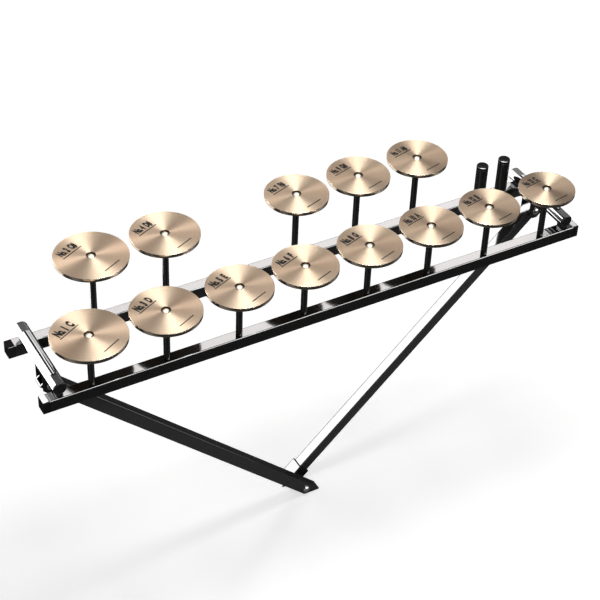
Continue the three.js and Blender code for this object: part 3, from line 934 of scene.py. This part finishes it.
def make_world():
    """Pale at the horizon and dimmer overhead."""
    sky = Shader("studio", "worlds")
    rise = sky.value("SeparateXYZ", "Z", None, {"Vector": sky.value("TexCoord", "Generated")})
    span = {"From Min": 0.10, "From Max": 0.45, "To Min": 0.75, "To Max": 0.14}
    level = sky.value("MapRange", "Result", {"interpolation_type": "SMOOTHSTEP"}, {"Value": rise, **span})
    glow = sky.value("Background", "Background", None, {"Strength": level})
    sky.node("OutputWorld", None, {"Surface": glow})
    bpy.context.scene.world = sky.made


PANELS = {
    # name: (middle, looks at, width, height, radiance, direction of the width if not along X)
    "overhead_softbox": ((0.27, 0.00, 2.70), (0.27, 0.00, 0.60), 0.9, 0.6, 12.0),
    "overhead_sheen": ((0.27, 0.00, 2.72), (0.27, 0.00, 0.60), 1.3, 0.9, 6.6),
    "rear_strip": ((7.21, 13.25, 13.13), (0.00, 0.00, 0.52), 7.85, 2.6, 6.5, (7.05, -1.84, -1.80)),
    "rear_sheen": ((7.75, 12.86, 13.24), (0.00, 0.00, 0.52), 4.5, 1.9, 5.5, (7.05, -1.84, -1.80)),
    "left_strip": ((-12.6, 12.2, 9.0), (0.25, 0.02, 0.25), 6.2, 3.0, 10.0, (-3.2, -0.4, -3.6)),
    "left_sheen": ((-1.20, 1.54, 1.475), (0.00, 0.00, 0.62), 0.9, 0.9, 7.0),
    "far_sheen": ((0.54, 2.70, 1.85), (0.00, 0.00, 0.65), 1.5, 1.5, 1.3),
    "rim_glow": ((-0.10, 0.88, 0.00), (-0.10, 0.88, 1.00), 2.6, 0.9, 0.85),
    "low_left_panel": ((-0.85, 0.56, 0.00), (-0.53, 0.00, 0.55), 0.35, 0.6, 9.0),
    "leg_end_white": ((-1.208, 0.685, 0.725), (-0.528, -0.015, 0.508), 0.2, 0.2, 12.0, (0, 0, 1)),
    "front_cap_white": ((-0.305, 0.612, 1.200), (-0.545, -0.078, 0.521), 0.6, 0.6, 11.0),
    "nut_fill": ((-0.94, -0.66, 2.30), (0.00, 0.00, 0.66), 6.0, 6.0, 1.5, (-0.574, 0.819, 0)),
    "rail_edge": ((2.35, -3.10, 3.60), (0.00, 0.00, 0.52), 5.0, 5.0, 9.0),
    "plug_edge_white": ((-0.55, -1.20, 2.50), (0.30, 0.08, 0.62), 6.0, 2.2, 24.0, (1, -0.7, 0)),
    "right_cap_white": ((11.25, 11.95, 12.35), (0.50, -0.07, 0.52), 1.5, 1.9, 8.5, (7.05, -1.84, -1.80)),
}
TINTS = {"overhead_sheen": (0.84, 1.0, 1.06), "rear_strip": (1.0, 0.965, 0.955)}
# Panels that light only the pieces whose names start so, and only their gloss
LIT = {
    "rear_sheen": "bronze_", "left_sheen": "bronze_", "far_sheen": "bronze_", "rim_glow": "bronze_",
    "nut_fill": "dome_", "plug_edge_white": "plug_", "rail_edge": ("tube_", "rivet_", "cross_pin"),
    "right_cap_white": "cap_front_right", "front_cap_white": "cap_front_left", "leg_end_white": "strut_left",
}
for side, white, grey in (("left", -0.98, -0.07), ("right", 0.05, 0.96)):
    PANELS[side + "_bar_white"] = ((white, 0.58, 0.60), (white, 0.00, 0.60), 0.64, 1.2, 11.0)
    PANELS[side + "_bar_grey"] = ((grey, 0.58, 0.90), (grey, 0.00, 0.90), 0.39, 0.54, 3.5)
    LIT[side + "_bar_white"] = LIT[side + "_bar_grey"] = "bridge_" + side
# Panels that light all but the pieces whose names start so
UNLIT = {
    "rear_strip": ("bronze_", "plug_", "cap_back_left"),
    "left_strip": ("bronze_", "dome_", "cap_", "studio_"),
    "low_left_panel": ("bronze_", "dome_", "cap_", "studio_"),
}


def chosen_pieces(name, starts, state):
    """A collection of the pieces whose names start so, which a lamp includes or excludes."""
    chosen = bpy.data.collections.new(name)
    for piece in bpy.context.scene.objects:
        if piece.name.startswith(starts):
            chosen.objects.link(piece)
    for entry in chosen.collection_objects:
        entry.light_linking.link_state = state
    return chosen


def add_panel(name, place, target, width, height, radiance, across=(1, 0, 0)):
    """A rectangular lamp of an even radiance."""
    lamp = bpy.data.lights.new(name, "AREA")
    lamp.shape = "RECTANGLE"
    lamp.size, lamp.size_y = width, height
    lamp.energy = radiance * pi * width * height
    lamp.color = TINTS.get(name, (1.0, 1.0, 1.0))
    back = (Vector(place) - Vector(target)).normalized()
    up = back.cross(Vector(across)).normalized()
    made = bpy.data.objects.new(name, lamp)
    turn = Matrix((up.cross(back), up, back)).transposed().to_4x4()
    made.matrix_world = Matrix.Translation(place) @ turn
    made.visible_camera = False
    made.visible_diffuse = not (name in LIT or name.endswith("sheen"))
    link(made)
    if name in LIT:
        made.light_linking.receiver_collection = chosen_pieces(name, LIT[name], "INCLUDE")
    elif name in UNLIT:
        made.light_linking.receiver_collection = chosen_pieces(name, UNLIT[name], "EXCLUDE")


def add_camera():
    """Camera at the photograph's viewpoint."""
    sight = bpy.data.cameras.new("photo_view")
    sight.sensor_width = 36.0
    sight.lens = 102.356
    sight.clip_start, sight.clip_end = 0.05, 100.0
    camera = bpy.data.objects.new("photo_view", sight)
    right = Vector((0.87463757, -0.48361456, 0.03355716))
    up = Vector((0.28697914, 0.57231651, 0.76817757))
    back = -Vector((0.39070717, 0.66224676, -0.63935682))
    turn = Matrix((right, up, back)).transposed().to_4x4()
    camera.matrix_world = Matrix.Translation((-1.23735, -2.06907, 2.47590)) @ turn
    link(camera)
    bpy.context.scene.camera = camera


# Operators


def each(names, sizes, *makers):
    """Makes those pieces for every name."""
    for name in names:
        for make in makers:
            make(name, sizes)
    return {"FINISHED"}


class CROTALES_OT_discs(bpy.types.Operator):
    """Make the bronze discs with their note names"""

    bl_idname = "crotales.discs"
    bl_label = "Discs"

    def execute(self, context):
        sizes = context.scene.crotales_discs
        for number, note in enumerate(NOTES, 1):
            make_disc(note, sizes)
            make_mark(number, note, sizes)
        return {"FINISHED"}


class CROTALES_OT_nuts(bpy.types.Operator):
    """Make the domed nuts"""

    bl_idname = "crotales.nuts"
    bl_label = "Nuts"

    def execute(self, context):
        return each(NOTES, context.scene.crotales_discs, make_nut)


class CROTALES_OT_posts(bpy.types.Operator):
    """Make the posts and the felts on their seats"""

    bl_idname = "crotales.posts"
    bl_label = "Posts"

    def execute(self, context):
        return each(NOTES, context.scene.crotales_discs, make_post, make_felt)


class CROTALES_OT_rails(bpy.types.Operator):
    """Make the rails and their caps"""

    bl_idname = "crotales.rails"
    bl_label = "Rails"

    def execute(self, context):
        sizes = context.scene.crotales_frame
        for row in ROWS:
            make_rail(row, sizes)
            for side in SIDES:
                make_rail_cap(row, side, sizes)
        return {"FINISHED"}


class CROTALES_OT_crossmembers(bpy.types.Operator):
    """Make the round crossmembers"""

    bl_idname = "crotales.crossmembers"
    bl_label = "Crossmembers"

    def execute(self, context):
        return each(SIDES, context.scene.crotales_frame, make_crossmember)


class CROTALES_OT_uprights(bpy.types.Operator):
    """Make the upright tubes and their plugs"""

    bl_idname = "crotales.uprights"
    bl_label = "Uprights"

    def execute(self, context):
        return each(SIDES, context.scene.crotales_frame, make_upright, make_upright_plug)


class CROTALES_OT_hinges(bpy.types.Operator):
    """Make the clevis brackets, the hinge pins and the crossing pin"""

    bl_idname = "crotales.hinges"
    bl_label = "Hinges"

    def execute(self, context):
        sizes = context.scene.crotales_stand
        for side in SIDES:
            make_clevis(side, context.scene.crotales_frame)
            make_hinge_pin(side, sizes)
        make_pivot_pin(sizes)
        make_pivot_spacer(sizes)
        return {"FINISHED"}


class CROTALES_OT_legs(bpy.types.Operator):
    """Make the leg tubes, the sleeve and its bush"""

    bl_idname = "crotales.legs"
    bl_label = "Legs"

    def execute(self, context):
        sizes = context.scene.crotales_stand
        width, height, wall, start = sizes.inner_width, sizes.inner_height, sizes.leg_wall, -sizes.overrun
        left, more = sizes.left_size, 2 * (sizes.slide_gap + sizes.sleeve_wall)
        sleeve = (width + more, height + more, sizes.sleeve_wall, mouth_of(sizes))
        make_leg("left", sizes, left, left, wall, start, "strut_left", "left_leg", "leg_left")
        make_leg("right", sizes, width, height, wall, start, "strut_right", "right_leg", "leg_right")
        make_leg("right", sizes, *sleeve, "strut_sleeve", "sleeve", "leg_sleeve")
        make_bush(sizes)
        return {"FINISHED"}


class CROTALES_OT_stage(bpy.types.Operator):
    """Make the studio: floor, lamps, world and camera"""

    bl_idname = "crotales.stage"
    bl_label = "Studio"

    def execute(self, context):
        make_floor(context.scene.crotales_colours)
        make_card()
        make_world()
        for name, panel in PANELS.items():
            add_panel(name, *panel)
        add_camera()
        context.scene.view_settings.view_transform = "Standard"
        return {"FINISHED"}


OPERATORS = (
    CROTALES_OT_discs, CROTALES_OT_nuts, CROTALES_OT_posts, CROTALES_OT_rails, CROTALES_OT_crossmembers,
    CROTALES_OT_uprights, CROTALES_OT_hinges, CROTALES_OT_legs, CROTALES_OT_stage,
)


class CROTALES_PT_panel(bpy.types.Panel):
    """Lists the sizes, the colours and the pieces"""

    bl_idname = "CROTALES_PT_panel"
    bl_label = "Crotales"
    bl_space_type = "VIEW_3D"
    bl_region_type = "UI"
    bl_category = "Crotales"

    def draw(self, context):
        for group in GROUPS:
            box = self.layout.box()
            for name in getattr(context.scene, group).bl_rna.properties.keys():
                if name not in ("rna_type", "name"):
                    box.prop(getattr(context.scene, group), name)
        for operator in OPERATORS:
            self.layout.operator(operator.bl_idname)


def register():
    for made in (*GROUPS.values(), *OPERATORS, CROTALES_PT_panel):
        bpy.utils.register_class(made)
    for name, group in GROUPS.items():
        setattr(bpy.types.Scene, name, bpy.props.PointerProperty(type=group))


def unregister():
    for name in GROUPS:
        delattr(bpy.types.Scene, name)
    for made in reversed((*GROUPS.values(), *OPERATORS, CROTALES_PT_panel)):
        bpy.utils.unregister_class(made)


def main():
    register()
    for operator in OPERATORS:
        group, name = operator.bl_idname.split(".")
        getattr(getattr(bpy.ops, group), name)()


if __name__ == "__main__":
    main()
